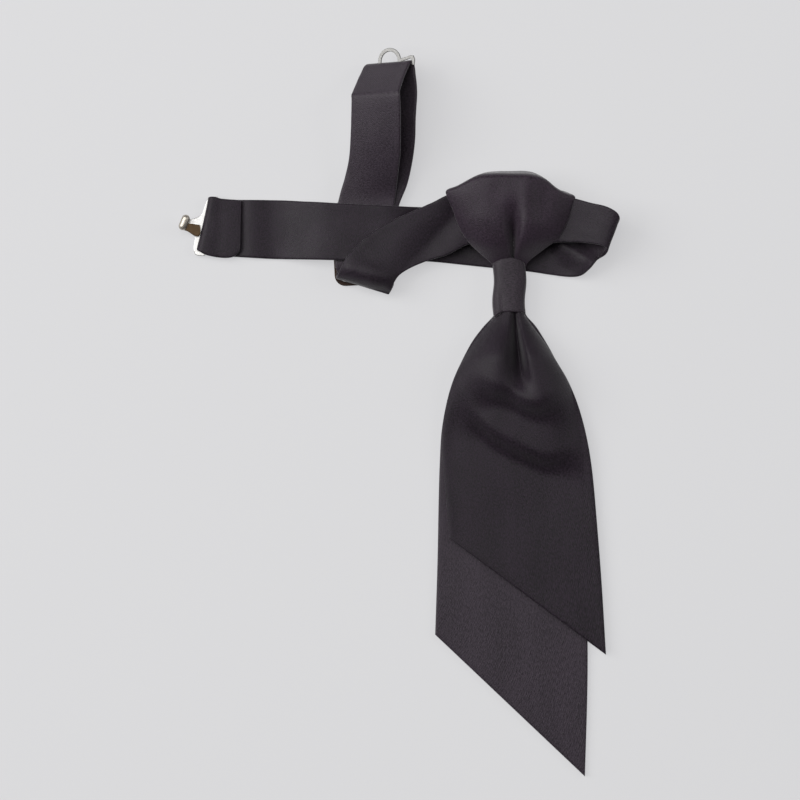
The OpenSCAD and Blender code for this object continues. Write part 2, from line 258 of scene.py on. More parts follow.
# Lighter and darker copies of one black satin, one per group of pieces: painted shade on the
# darkest, painted light and painted highlight on the lighter ones, for how the light catches each
# piece
SATIN = satin("black_satin", (0.0125, 0.0073, 0.0124, 1), (0.0345, 0.0215, 0.0350, 1), 0.51)
SATIN_PAINTED_SHADE = satin(
    "black_satin_painted_shade", (0.0043, 0.0021, 0.0044, 1), (0.0210, 0.0127, 0.0222, 1), 0.55
)
SATIN_PAINTED_LIGHT = satin(
    "black_satin_painted_light", (0.0110, 0.0074, 0.0108, 1), (0.0364, 0.0258, 0.0364, 1), 0.48
)
SATIN_PAINTED_HIGHLIGHT = satin(
    "black_satin_painted_highlight", (0.0170, 0.0118, 0.0172, 1), (0.0398, 0.0290, 0.0408, 1), 0.48
)
THREAD = satin("thread", (0.012, 0.010, 0.012, 1), (0.022, 0.019, 0.022, 1), 0.6)
NICKEL = metal("nickel", (0.52, 0.512, 0.50, 1), 0.36)
# Brown on the hook's tongue: painted reflection of dark, warm surroundings in its bent face.
NICKEL_PAINTED_REFLECTION = metal("nickel_painted_reflection", (0.16, 0.105, 0.06, 1), 0.3)
# Darker copy of the nickel for the eye: painted shade that damps the light its tilted face
# reflects.
NICKEL_PAINTED_SHADE = metal("nickel_painted_shade", (0.33, 0.325, 0.315, 1), 0.58)
WORN = metal("worn_nickel", (0.50, 0.46, 0.405, 1), 0.46)
# Near-black brown for the slide under the roll: painted shade and painted dark reflection.
SLIDE_PAINTED_SHADE = metal("slide_painted_shade", (0.024, 0.016, 0.013, 1), 0.35)


# ---- Meshes -----------------------------------------------------------------------------


def placed(name, mesh):
    obj = bpy.data.objects.new(name, mesh)
    bpy.context.scene.collection.objects.link(obj)
    return obj


def cloth_object(name, made, material):
    """Object from a finished bmesh of cloth."""
    bmesh.ops.recalc_face_normals(made, faces=made.faces)
    mesh = bpy.data.meshes.new(name)
    made.to_mesh(mesh)
    made.free()
    mesh.materials.append(material)
    return placed(name, mesh)


def solid_from_rings(name, rings, along, around, material):
    """Mesh through rings of points.  along and around give each point's place on the cloth."""
    made = bmesh.new()
    uv_layer = made.loops.layers.uv.new("cloth")
    verts = [[made.verts.new(Vector(p) * MM) for p in ring] for ring in rings]
    count = len(rings[0])

    def face(corners, places):
        try:
            f = made.faces.new(corners)
        except ValueError:
            return
        f.smooth = True
        for loop, place in zip(f.loops, places):
            loop[uv_layer].uv = (place[0] * MM, place[1] * MM)

    for i in range(len(rings) - 1):
        for k in range(count):
            n = (k + 1) % count
            places = [(along[i], around[k]), (along[i], around[k + 1]),
                      (along[i + 1], around[k + 1]), (along[i + 1], around[k])]
            face([verts[i][k], verts[i][n], verts[i + 1][n], verts[i + 1][k]], places)
    for i, flip in ((0, True), (len(rings) - 1, False)):
        for k in range(count // 2):
            a, b = verts[i][k], verts[i][k + 1]
            c, d = verts[i][(count - k - 1) % count], verts[i][(count - k) % count]
            corners = [a, b, c, d]
            corners = [v for j, v in enumerate(corners) if v not in corners[:j]]
            if flip:
                corners.reverse()
            face(corners, [(along[i], around[k])] * 4)
    made.normal_update()
    return cloth_object(name, made, material)


def both_sides(places, size):
    """Places round a flattened tube: across its top, then back beneath it."""
    return places + [2 * size - p for p in places[-2::-1]]


BAND_STEPS = 8  # rows of mesh from one station to the next
BAND_COLUMNS = 14
BAND_RIM = 0.65


def flat_relief(_):
    return 0.0


def beyond_line(point, x0, y0, x1, y1):
    """Distance of a point from a line in plan, positive on its left, and how far along it."""
    run = Vector((x1 - x0, y1 - y0))
    to = Vector((point.x - x0, point.y - y0))
    return run.cross(to) / run.length, run.dot(to) / run.length ** 2


def neckband_relief(point):
    """Folds that the band keeps from its knot."""
    # bottom run below the curl: a fold from under the drape out to the lower right
    if point.z < 9 and point.x > 12:
        beyond = beyond_line(point, 22, 18.9, 35, 11)[0]
        shape = smooth(1 + beyond / 10) if beyond < 0 else 1 - smooth(beyond / 4.5)
        return 3.4 * shape * smooth((point.x - 15) / 9) * smooth((40 - point.x) / 6)
    # left branch: a soft wave beside the drape, and a ridge along the roll
    if point.z > 6.5 and point.x < -15:
        trough = (point.x + 25 + 0.9 * (30.5 - point.y)) / 14 + 1
        wave = -1.6 * max(min(trough, 1.0), 0.0) ** 2 * (1 - smooth(trough - 1))
        beyond, along = beyond_line(point, -71.4, 6.3, -51.1, 1.6)
        ends = smooth((along + 0.15) / 0.3) * smooth((1.1 - along) / 0.2)
        return wave + 1.6 * bell(beyond - 1.6, 4.5) * ends
    # curl: a soft swell across its upper layer
    if point.z > 9 and point.x > 24:
        return 3.2 * smooth((point.x - 26) / 21)
    # single cloth: it rises under the flap and falls away beside it
    if point.z < 1.6 and point.x < -98:
        return 1.2 * smooth((point.x + 117.5) / 6) * (1 - smooth((point.x + 111) / 10))
    return 0.0


def band(name, stations, wobble, seed, material, relief=flat_relief):
    """Flattened tube of cloth.  A station is its two edges: [x, y, z, x, y, z]."""
    rows = catmull(stations, BAND_STEPS)
    half = BAND_T / 2
    fractions = rim_spaced(BAND_COLUMNS, EDGE_REACH, BAND_W)
    rings, along = [], []
    travelled = 0.0
    centres = [(Vector(r[:3]) + Vector(r[3:])) / 2 for r in rows]
    for i, row in enumerate(rows):
        a, b = Vector(row[:3]), Vector(row[3:])
        ahead = centres[min(i + 1, len(rows) - 1)] - centres[max(i - 1, 0)]
        up = (b - a).cross(ahead).normalized()
        if i:
            travelled += (centres[i] - centres[i - 1]).length
        top, bottom = [], []
        for s in fractions:
            from_edge = min(s, 1 - s) * BAND_W
            rim = round_over(from_edge, BAND_RIM)
            puff = 1 + 0.10 * bell(from_edge - EDGE_REACH, 1.2)
            slow = noise.noise(Vector((travelled / 14 + seed, s * 2.2, seed)))
            quick = noise.noise(Vector((travelled / 3.2, s * 6 + seed, 4.0)))
            edge_share = bell(from_edge, 3.5)
            shift = wobble * (1.6 * slow + 0.55 * quick * (0.3 + edge_share))
            middle = a.lerp(b, s)
            middle += up * shift + Vector((0, 0, relief(middle)))
            top.append(middle + up * half * rim * puff)
            bottom.append(middle - up * half * rim * puff)
        rings.append(top + bottom[-2:0:-1])
        along.append(travelled)
    around = both_sides([s * BAND_W for s in fractions], BAND_W)
    return solid_from_rings(name, rings, along, around, material), travelled


TAIL_RIM = 0.75


def pillow(name, left, right, height, thickness, rows, columns, material):
    """Closed, flat bag of cloth between two edges, with its middle surface at height(x, y)."""
    length = sum((Vector(a) - Vector(b)).length for a, b in zip(left, left[1:]))
    widest = max((Vector(a) - Vector(b)).length for a, b in zip(left, right))
    row_fractions = rim_spaced(rows, TAIL_RIM * 1.6, length)
    column_fractions = rim_spaced(columns, TAIL_RIM * 1.6, widest)
    rings, along = [], []
    for r in row_fractions:
        a, b = at(left, r), at(right, r)
        width = math.dist(a, b)
        top, bottom = [], []
        for s in column_fractions:
            x, y = lerp(a[0], b[0], s), lerp(a[1], b[1], s)
            inside = min(s * width, (1 - s) * width, (1 - r) * length)
            puff = 1 + 0.1 * bell(inside - 2, 1.4)
            half = thickness(x, y) / 2 * round_over(inside, TAIL_RIM) * puff
            z = height(x, y)
            top.append((x, y, z + half))
            bottom.append((x, y, z - half))
        rings.append(top + bottom[-2:0:-1])
        along.append(r * length)
    around = both_sides([s * widest for s in column_fractions], widest)
    return solid_from_rings(name, rings, along, around, material)


# ---- Neckband ---------------------------------------------------------------------------
# Both edges of the band where it matters: under the flap's raw edge, round the hook's bar, along
# the bottom run, over the doubled strap, under the drape, round the curl, back through the
# drape, down the left branch, round the roll, and through the adjuster.

NECKBAND = [
    [-116.0, 15.6, 2.7, -115.5, 37.2, 2.6],
    [-118.6, 13.2, 3.0, -117.4, 37.6, 2.9],
    [-122.0, 12.6, 3.2, -120.4, 37.8, 3.1],
    [-126.0, 12.9, 3.2, -123.6, 38.0, 3.2],
    [-130.2, 13.8, 3.6, -126.4, 38.8, 3.5],
    [-132.9, 15.1, 3.5, -128.0, 39.0, 3.4],
    [-134.0, 15.8, 2.1, -128.9, 38.8, 2.1],
    [-132.6, 15.4, 0.8, -127.8, 38.6, 0.8],
    [-128.0, 14.0, 0.7, -123.6, 38.2, 0.7],
    [-119.0, 13.2, 0.7, -116.5, 37.7, 0.7],
    [-106.0, 12.4, 0.7, -105.0, 37.6, 0.8],
    [-97.0, 12.1, 1.5, -96.5, 37.4, 1.5],
    [-89.5, 11.9, 4.2, -89.2, 36.9, 4.2],
    [-82.0, 11.7, 6.7, -82.0, 36.5, 6.7],
    [-74.0, 11.5, 7.4, -74.0, 36.0, 7.4],
    [-62.0, 11.4, 7.4, -62.0, 35.4, 7.4],
    [-50.0, 11.4, 7.2, -50.0, 34.8, 7.2],
    [-41.0, 11.3, 4.2, -40.5, 34.5, 4.2],
    [-32.0, 10.9, 1.3, -31.0, 34.4, 1.3],
    [-22.0, 9.9, 0.7, -20.5, 34.3, 0.7],
    [-9.7, 8.6, 0.7, -8.0, 33.5, 0.7],
    [7.4, 6.9, 0.7, 9.5, 31.8, 0.7],
    [17.0, 5.5, 0.8, 20.0, 30.2, 0.7],
    [25.0, 4.5, 1.8, 27.0, 29.4, 0.7],
    [30.0, 4.9, 4.0, 32.5, 29.0, 0.9],
    [33.4, 7.4, 6.4, 37.5, 29.0, 2.2],
    [36.6, 11.4, 8.2, 42.6, 29.2, 5.6],
    [39.6, 13.4, 9.6, 45.6, 28.4, 10.6],
    [40.9, 16.4, 11.6, 45.4, 31.4, 13.2],
    [38.0, 17.8, 12.2, 40.8, 34.2, 13.4],
    [33.4, 18.6, 11.6, 34.2, 35.9, 12.6],
    [27.6, 19.1, 10.6, 28.0, 37.7, 11.6],
    [20.5, 19.0, 9.0, 20.5, 39.6, 10.2],
    [7.0, 17.8, 7.4, 7.0, 42.2, 7.6],
    [-8.0, 18.2, 7.0, -9.0, 42.2, 7.4],
    [-17.6, 18.3, 7.2, -24.0, 40.4, 9.6],
    [-26.5, 14.0, 7.6, -33.5, 36.2, 9.2],
    [-35.0, 11.4, 8.2, -41.5, 32.6, 9.2],
    [-42.5, 8.3, 9.8, -50.6, 28.6, 9.2],
    [-47.4, 5.2, 10.4, -58.8, 23.6, 9.3],
    [-49.6, 2.2, 10.6, -65.2, 18.2, 9.8],
    [-50.3, 0.4, 10.2, -70.0, 12.8, 10.2],
    [-50.9, -1.2, 8.9, -73.0, 7.6, 9.2],
    [-51.8, -2.6, 5.8, -74.5, 4.4, 6.0],
    [-51.3, -1.6, 2.9, -74.6, 5.6, 3.0],
    [-50.0, 1.0, 2.2, -74.2, 8.8, 2.2],
    [-49.7, 5.4, 2.2, -74.6, 12.0, 2.2],
    [-49.9, 13.0, 2.2, -74.9, 16.0, 2.2],
    [-49.9, 22.0, 2.2, -74.9, 22.0, 2.2],
    [-49.9, 34.0, 2.2, -74.9, 34.0, 2.2],
    [-49.9, 41.0, 2.2, -71.6, 40.4, 2.2],
]
# The band's satin is the darkest copy: painted shade.
neckband, neckband_length = band(
    "neckband", NECKBAND, wobble=0.14, seed=2.0, material=SATIN_PAINTED_SHADE, relief=neckband_relief,
)
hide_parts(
    "neckband_cloth", "neckband_interlining", "hook_strap_cloth",
    "hook_strap_interlining",
)
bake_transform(neckband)

# The doubled strap: from its sewn end on the adjuster, up over the crease, round the eye's bar
# and back down through the adjuster
EYE_STRAP = [
    [-74.2, 6.6, 4.4, -50.2, 6.6, 4.4],
    [-74.7, 7.8, 5.3, -50.0, 7.8, 5.3],
    [-75.2, 11.0, 5.6, -49.9, 11.0, 5.5],
    [-74.9, 22.0, 5.4, -49.9, 22.0, 5.4],
    [-74.4, 33.0, 5.4, -49.9, 33.0, 5.4],
    [-73.0, 40.0, 5.5, -49.0, 40.5, 6.9],
    [-70.8, 47.5, 6.7, -48.0, 48.5, 12.0],
    [-69.0, 56.0, 9.0, -47.1, 57.0, 17.6],
    [-68.3, 66.0, 11.5, -47.0, 66.5, 22.2],
    [-68.0, 75.0, 13.3, -47.1, 75.5, 25.2],
    [-67.9, 79.8, 14.0, -47.3, 80.2, 26.4],
    [-68.0, 81.6, 13.8, -47.4, 82.0, 26.3],
    [-67.4, 83.2, 12.8, -47.2, 83.6, 25.4],
    [-65.3, 88.4, 8.6, -45.6, 89.0, 21.4],
    [-63.2, 93.2, 4.6, -43.6, 94.0, 17.4],
    [-62.4, 94.7, 3.3, -42.8, 95.6, 16.2],
    [-61.6, 95.2, 2.1, -41.8, 95.9, 15.0],
    [-61.0, 94.4, 1.0, -41.2, 94.8, 14.0],
    [-60.8, 90.0, 0.9, -40.6, 90.5, 13.8],
    [-60.6, 82.0, 0.9, -40.0, 83.0, 13.6],
    [-61.0, 72.0, 0.9, -40.6, 73.0, 13.2],
    [-63.0, 62.0, 1.1, -40.9, 62.5, 11.4],
    [-66.4, 53.0, 2.0, -42.1, 53.0, 8.0],
    [-69.8, 44.0, 3.3, -44.2, 44.0, 4.8],
    [-73.0, 36.0, 3.8, -47.4, 36.0, 3.8],
    [-74.9, 27.0, 3.8, -49.9, 27.0, 3.8],
    [-74.9, 20.0, 3.8, -49.9, 20.0, 3.8],
]
# The strap's satin is the lightest copy: painted highlight.
eye_strap, eye_strap_length = band(
    "eye_strap", EYE_STRAP, wobble=0.1, seed=7.0, material=SATIN_PAINTED_HIGHLIGHT,
)
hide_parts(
    "loop_upper_cloth", "loop_upper_interlining", "loop_lower_cloth",
    "loop_lower_interlining", "adjuster_tab", "eye_strap_cloth", "eye_strap_interlining",
)
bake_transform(eye_strap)


# ---- Tails ------------------------------------------------------------------------------

BACK_LEFT = catmull([
    (-5.5, -7.0), (-7.0, -12.0), (-12.0, -18.0), (-20.0, -30.0), (-26.0, -45.0), (-29.2, -60.0),
    (-30.2, -75.0), (-30.7, -92.0), (-31.2, -118.0), (-32.2, -149.2),
], 6)
BACK_RIGHT = catmull([
    (5.5, -7.0), (7.0, -12.0), (12.0, -18.0), (20.0, -32.0), (27.0, -50.0), (30.4, -70.0),
    (31.8, -95.0), (32.8, -125.0), (33.4, -165.0), (32.2, -210.2),
], 6)
FRONT_LEFT = catmull([
    (-5.6, -6.5), (-6.8, -11.6), (-11.6, -17.0), (-16.4, -23.4), (-21.0, -32.0), (-24.7, -40.4),
    (-27.4, -50.0), (-29.0, -60.0), (-29.1, -72.0), (-28.0, -84.0), (-27.0, -97.0),
    (-26.0, -108.0),
], 6)
FRONT_RIGHT = catmull([
    (5.4, -6.5), (6.2, -11.6), (9.8, -17.0), (15.0, -24.0), (20.2, -32.4), (25.2, -41.0),
    (29.6, -52.0), (33.0, -65.0), (35.4, -80.0), (37.4, -102.0), (39.4, -128.0), (41.2, -157.8),
], 6)


def back_height(x, y):
    neck = through([(-60, 0.0), (-14, 1.5), (-8, 1.9)], y)
    return 0.95 + neck + 0.1 * noise.noise(Vector((x / 22, y / 30, 3.0)))


def back_thickness(x, y):
    return through([(-40, 1.5), (-14, 2.6)], y)


FIRST_STEP = 7.7
SECOND_STEP = 6.7
FRONT_FLAT = 2.6  # height of the tail's flat part


def front_height(x, y):
    """Two puffed lobes that fall to the flat of the tail in two slanting steps."""
    # middle line of each step, and over how long a run it falls
    first = through([
        (-18, -43), (-9, -45.6), (-4, -46.6), (0, -48), (5, -51), (12, -53), (26, -50),
    ], x)
    first_run = through([
        (-24, 44), (-14, 28), (-8, 18), (0, 17), (8, 15), (14, 18), (22, 32), (30, 44),
    ], x)
    second = through([(-24, -52), (-16, -58), (-7, -65.3), (4, -71), (15, -75.4), (34, -74)], x)
    second_run = through([
        (-28, 46), (-20, 28), (-14, 18), (0, 15), (18, 15), (25, 22), (34, 40),
    ], x)
    upper = FIRST_STEP * smooth(smooth((y - first) / first_run + 0.5))
    lower = SECOND_STEP * smooth(smooth((y - second) / second_run + 0.5))
    half_width = through([(-90, 33), (-70, 31), (-40, 25), (-24, 16.0), (-12, 7.2), (-6, 6)], y)
    side = min(abs(x) / half_width, 1.0)
    neck = lerp(1.0, 0.40, smooth((y + 32) / 20))
    lobes = (upper + lower) * neck * (1 - 0.8 * side ** (2.6 if x < 0 else 3.8))
    # pleat between the two lobes, steeper on its right
    pleat_x = through([
        (-54, 5.0), (-44, 4.6), (-36, 4.2), (-28, 3.6), (-20, 2.7), (-12, 2.0),
    ], y)
    left_width = through([
        (-54, 8.0), (-44, 6.5), (-36, 5.2), (-28, 4.3), (-20, 2.6), (-12, 1.2),
    ], y)
    right_width = through([
        (-54, 9.0), (-44, 5.0), (-36, 2.8), (-28, 2.0), (-20, 1.4), (-12, 0.9),
    ], y)
    depth = through([
        (-56, 0), (-50, 0.6), (-44, 2.4), (-38, 6.0), (-30, 9.6), (-20, 7.4), (-12, 2.6),
    ], y)
    pleat = depth * bell(x - pleat_x, left_width if x < pleat_x else right_width)
    soft = 0.3 * noise.noise(Vector((x / 24, y / 26, 8.0)))
    return FRONT_FLAT + lobes - pleat + soft


def front_thickness(x, y):
    return 1.5


# The back tail's satin is the lightest copy: painted highlight.
back_tail = pillow(
    "back_tail", BACK_LEFT, BACK_RIGHT, back_height, back_thickness, 90, 40, SATIN_PAINTED_HIGHLIGHT,
)
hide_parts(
    "back_tail_face", "back_tail_interlining", "back_tail_back", "back_tail_neck"
)
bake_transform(back_tail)

# The front tail's satin is the darkest copy: painted shade.
front_tail = pillow(
    "front_tail", FRONT_LEFT, FRONT_RIGHT, front_height, front_thickness, 150, 120, SATIN_PAINTED_SHADE,
)
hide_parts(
    "front_tail_face", "front_tail_interlining", "front_tail_back", "front_tail_neck"
)
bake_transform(front_tail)


# ---- Drape ------------------------------------------------------------------------------
# Left edge (x, y), right edge (x, y), height of both edges, and how high the middle stands above
# them, from the ring's mouth up over the neckband and back beneath it

DRAPE = [
    (-6.4, 8.0, 6.2, 8.0, 6.0, 0.6), (-9.6, 11.8, 8.2, 11.6, 6.6, 1.6),
    (-17.4, 18.8, 14.9, 16.8, 8.6, 5.2), (-21.9, 25.6, 20.4, 21.0, 9.6, 7.0),
    (-24.6, 32.6, 24.2, 28.0, 10.8, 7.4), (-27.2, 38.6, 26.8, 35.8, 11.6, 6.6),
    (-27.6, 40.8, 27.6, 38.2, 11.2, 5.8), (-25.4, 41.7, 26.0, 39.4, 8.6, 4.6),
    (-22.0, 41.8, 22.6, 40.6, 5.6, 2.2), (-21.5, 39.0, 22.0, 38.0, 2.8, 0.4),
    (-21.0, 32.0, 21.0, 31.0, 2.2, 0.0), (-17.0, 22.0, 15.0, 21.0, 2.2, 0.0),
    (-6.5, 10.5, 6.5, 10.5, 2.6, 0.0),
]

# How far the drape's top edge bulges away from the ring, across its width
TOP_BULGE = [
    (0, 0), (0.08, 1.6), (0.24, 6.4), (0.34, 7.4), (0.5, 7.8), (0.66, 7.9), (0.76, 6.3),
    (0.86, 2.4), (0.94, 0.6), (1, 0),
]
DRAPE_STEPS = 10  # rows of mesh from one station to the next
DRAPE_COLUMNS = 96
MIDDLE_COLUMN = 50  # column along which the drape's length is measured
DRAPE_W = 50.0
DRAPE_T = 1.2
DRAPE_RIM = 1.0
FRONT_STATIONS = 6  # stations before the top edge; the relief fades out over it


def drape_surface(s, row):
    """Point of the drape's middle surface at the fraction s across a row."""
    lx, ly, rx, ry, edge_z, crown = row
    x = lerp(lx, rx, s)
    side = abs(2 * s - 1)
    arch = 1 - side ** (3.2 if s < 0.5 else 2.6)
    reach = smooth((ly - 30) / 10)
    y = lerp(ly, ry, s) + reach * through(TOP_BULGE, s)
    return x, y, edge_z + crown * arch


def drape_relief(x, y):
    """Pleat up from the ring, with a hollow each side of it and a ridge on its right."""
    pleat_x = through([(9, 1.2), (26, 1.4), (38, 1.4)], y)
    left_width = through([(10, 0.8), (20, 2.2), (27, 3.6), (36, 5.0)], y)
    right_width = through([(10, 0.7), (20, 1.7), (27, 2.4), (36, 3.2)], y)
    depth = through([
        (8, 0.8), (13, 3.2), (20, 5.6), (26, 5.2), (31, 3.0), (36, 0.9), (41, 0),
    ], y)
    pleat = depth * bell(x - pleat_x, left_width if x < pleat_x else right_width)
    lift = smooth((y - 14) / 12) * smooth((50 - y) / 10)
    left_hollow = 0.45 * bell(x + 6.0, 4.0) * smooth((y - 26) / 10) * lift
    right_hollow = 1.1 * bell(x - 13.5, 4.5) * smooth((y - 24) / 12) * lift
    right_ridge = 0.5 * bell(x - 6.8, 3.4) * lift
    return right_ridge - pleat - left_hollow - right_hollow


def make_drape():
    rows = catmull(DRAPE, DRAPE_STEPS)
    columns = rim_spaced(DRAPE_COLUMNS, EDGE_REACH, DRAPE_W)
    middle = []
    for i, row in enumerate(rows):
        line = []
        for s in columns:
            x, y, z = drape_surface(s, row)
            share = smooth((FRONT_STATIONS * DRAPE_STEPS + 14 - i) / 16)
            z += drape_relief(x, y) * share
            z += 0.25 * noise.noise(Vector((x / 9, y / 9, 1.5)))
            line.append(Vector((x, y, z)))
        middle.append(line)
    rings, along, travelled = [], [], 0.0
    for i, line in enumerate(middle):
        ahead = middle[min(i + 1, len(middle) - 1)]
        behind = middle[max(i - 1, 0)]
        if i:
            travelled += (line[MIDDLE_COLUMN] - middle[i - 1][MIDDLE_COLUMN]).length
        top, bottom = [], []
        for k, point in enumerate(line):
            across = line[min(k + 1, len(line) - 1)] - line[max(k - 1, 0)]
            up = across.cross(ahead[k] - behind[k]).normalized()
            rim = round_over(min(columns[k], 1 - columns[k]) * DRAPE_W, DRAPE_RIM)
            top.append(point + up * DRAPE_T / 2 * rim)
            bottom.append(point - up * DRAPE_T / 2 * rim)
        rings.append(top + bottom[-2:0:-1])
        along.append(travelled)
    around = both_sides([s * DRAPE_W for s in columns], DRAPE_W)
    return solid_from_rings("drape", rings, along, around, SATIN)


drape = make_drape()
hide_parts("knot_drape")
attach(drape, "knot")


# ---- Ring -------------------------------------------------------------------------------

RING_WALL = 1.1
RING_TURNS = 72
RING_ROWS = 40
RING_CORNERS = 3.4  # power of its section's outline: 2 is an ellipse, and more is squarer


def ring_rings():
    """Turn of band cloth round the neck of the tails, creased along its lower left."""
    low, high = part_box("knot_ring")
    half_w = 0.91 * (high.x - low.x) / 2 / MM
    ring_h = (high.z - low.z) / MM
    rings, along = [], []
    for i in range(RING_ROWS + 1):
        f = i / RING_ROWS
        outer, inner = [], []
        for k in range(RING_TURNS):
            angle = 2 * math.pi * k / RING_TURNS
            c, s = math.cos(angle), math.sin(angle)
            x = half_w * math.copysign(abs(c) ** (2 / RING_CORNERS), c)
            z = ring_h / 2 * (1 + math.copysign(abs(s) ** (2 / RING_CORNERS), s))
            front = max(s, 0.0)
            dip_left, dip_right = 2.2 * bell(x + 7.6, 2.6), 0.5 * bell(x - 7.4, 1.6)
            y_low = -10.6 - dip_left - dip_right - 0.3 * (1 - front)
            y_high = 12.6 - 0.045 * x * x - (1 - front) * 0.6
            y = lerp(y_low, y_high, f)
            if s < -0.2:
                y = min(y, 5.6)
            x += 0.35 * math.sin(y / 2.9 + 0.6) * abs(c) - 0.4
            z -= front * 0.35 * bell(x + 3.4 + 0.10 * (y + 10), 1.2) * smooth((2 - y) / 8)
            rim = 0.4 * (bell(f, 0.03) + bell(1 - f, 0.03))
            centre_pull = 1 - 0.03 * rim
            point = Vector((x * centre_pull, y, ring_h / 2 + (z - ring_h / 2) * centre_pull))
            inward = Vector((-x, 0, ring_h / 2 - z)).normalized() * RING_WALL
            outer.append(point)
            inner.append(point + inward)
        rings.append((outer, inner))
        along.append(f * BAND_W)
    mesh_rings = [r[0] for r in rings] + [r[1] for r in reversed(rings)]
    return mesh_rings, along + [BAND_W + a for a in along] + [2 * BAND_W]


TURN_LENGTH = 0.65  # cloth from one point of the ring's outline to the next


def make_tube(name, rings, along, material):
    """Tube with a wall: out along its outside, back along its inside, and closed."""
    made = bmesh.new()
    uv_layer = made.loops.layers.uv.new("cloth")
    verts = [[made.verts.new(p * MM) for p in ring] for ring in rings]
    count = len(rings[0])
    for i in range(len(verts)):
        j = (i + 1) % len(verts)
        for k in range(count):
            n = (k + 1) % count
            f = made.faces.new([verts[i][k], verts[i][n], verts[j][n], verts[j][k]])
            f.smooth = True
            places = [
                (along[i], k), (along[i], k + 1), (along[i + 1], k + 1), (along[i + 1], k),
            ]
            for loop, place in zip(f.loops, places):
                loop[uv_layer].uv = (place[0] * MM, place[1] * TURN_LENGTH * MM)
    return cloth_object(name, made, material)


# The ring's satin is a lighter copy: painted light.
ring = make_tube("ring", *ring_rings(), SATIN_PAINTED_LIGHT)
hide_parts("knot_ring")
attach(ring, "knot")


# ---- Metal and thread -------------------------------------------------------------------

PLATE_ROUNDING = 0.22


def cut_plate(name, outline, thickness, material, holes=()):
    """Stamped plate with rounded edges, from outlines in millimetres in its own plane."""
    curve = bpy.data.curves.new(name, "CURVE")
    curve.dimensions = "2D"
    curve.fill_mode = "BOTH"
    curve.bevel_depth = PLATE_ROUNDING * MM
    curve.bevel_resolution = 3
    curve.extrude = (thickness / 2 - PLATE_ROUNDING) * MM
    for points in (outline, *holes):
        spline = curve.splines.new("POLY")
        spline.points.add(len(points) - 1)
        spline.use_cyclic_u = True
        for point, (x, y) in zip(spline.points, points):
            point.co = (x * MM, y * MM, 0, 1)
    holder = bpy.data.objects.new(name, curve)
    mesh = bpy.data.meshes.new_from_object(holder)
    bpy.data.objects.remove(holder)
    bpy.data.curves.remove(curve)
    mesh.materials.clear()
    mesh.materials.append(material)
    return placed(name, mesh)


def move(obj, matrix):
    obj.data.transform(matrix)


def joined(name, pieces):
    """One object from several, each with its own material."""
    made = bmesh.new()
    mesh = bpy.data.meshes.new(name)
    for piece in pieces:
        material = piece.data.materials[0]
        if material.name not in mesh.materials:
            mesh.materials.append(material)
        slot = list(mesh.materials).index(material)
        before = len(made.faces)
        made.from_mesh(piece.data)
        made.faces.ensure_lookup_table()
        for face in made.faces[before:]:
            face.material_index = slot
            face.smooth = True
        bpy.data.objects.remove(piece)
    made.to_mesh(mesh)
    made.free()
    mesh.set_sharp_from_angle(angle=math.radians(50))
    return placed(name, mesh)


def round_bar(name, a, b, radius, material):
    """Bar with domed ends between two points in millimetres."""
    made = bmesh.new()
    bmesh.ops.create_uvsphere(made, u_segments=20, v_segments=12, radius=radius * MM)
    run = Vector(b) - Vector(a)
    for v in made.verts:
        v.co.z += (run.length / 2 - radius) * MM * (1 if v.co.z > 0 else -1)
    mesh = bpy.data.meshes.new(name)
    made.to_mesh(mesh)
    made.free()
    mesh.transform(
        Matrix.Translation((Vector(a) + Vector(b)) / 2 * MM)
        @ run.to_track_quat("Z", "Y").to_matrix().to_4x4()
    )
    mesh.materials.append(material)
    return placed(name, mesh)


def arc(cx, cy, r, start, end, count):
    """Points on an arc between two angles in degrees."""
    return [
        (cx + r * math.cos(math.radians(lerp(start, end, k / count))),
         cy + r * math.sin(math.radians(lerp(start, end, k / count))))
        for k in range(count + 1)
    ]


STAMPED_T = 0.8

# Hook: rounded frame round the sewn fold, flared into a tongue that rises to a tilted head.
# The outlines are measured from the bar's middle.
hook_pos = Vector(joints["hook_pivot"]["pos_m"])
frame_line = catmull([
    (3.6, 11.6), (0.6, 11.3), (-0.7, 9.6), (-1.6, 7.4), (-2.2, 5.2), (-3.6, 3.3), (-6.2, 2.2),
    (-8.2, 1.6), (-8.6, -0.2), (-7.2, -3.2), (-5.9, -4.8), (-5.8, -7.0), (-6.3, -10.0),
    (-5.9, -12.2), (-4.6, -13.3), (-1.8, -13.3),
], 5)
inner_line = catmull([
    (-1.8, -12.2), (-3.6, -12.0), (-4.4, -10.4), (-3.2, -5.0), (-1.6, 1.0), (0.2, 8.6),
    (1.2, 10.5), (3.6, 10.7),
], 5)
hook_frame = cut_plate("hook_frame", frame_line + inner_line, STAMPED_T, NICKEL)
move(hook_frame, Matrix.Translation(hook_pos))
tongue_line = catmull([
    (-4.0, -0.6), (-5.4, -0.4), (-8.6, 0.0), (-10.4, -0.6), (-10.6, -2.3), (-9.0, -3.0),
    (-7.4, -4.0), (-5.8, -5.0), (-4.2, -4.9), (-3.7, -3.0), (-4.0, -0.6),
], 8)[:-1]
# The tongue's brown is a painted reflection.
tongue = cut_plate("hook_tongue", tongue_line, STAMPED_T, NICKEL_PAINTED_REFLECTION)
tongue_place = Matrix.Translation(hook_pos + Vector((0, 0, 0.9)) * MM)
tongue_tilt = Matrix.Rotation(0.16, 4, "Y")
move(tongue, tongue_place @ tongue_tilt)
head = round_bar("hook_head", (-11.6, -2.6, 3.0), (-9.0, 3.8, 3.6), 1.8, WORN)
move(head, Matrix.Translation(hook_pos))
hook = joined("hook_metal", [hook_frame, tongue, head])
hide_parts("hook")
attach(hook, "hook")

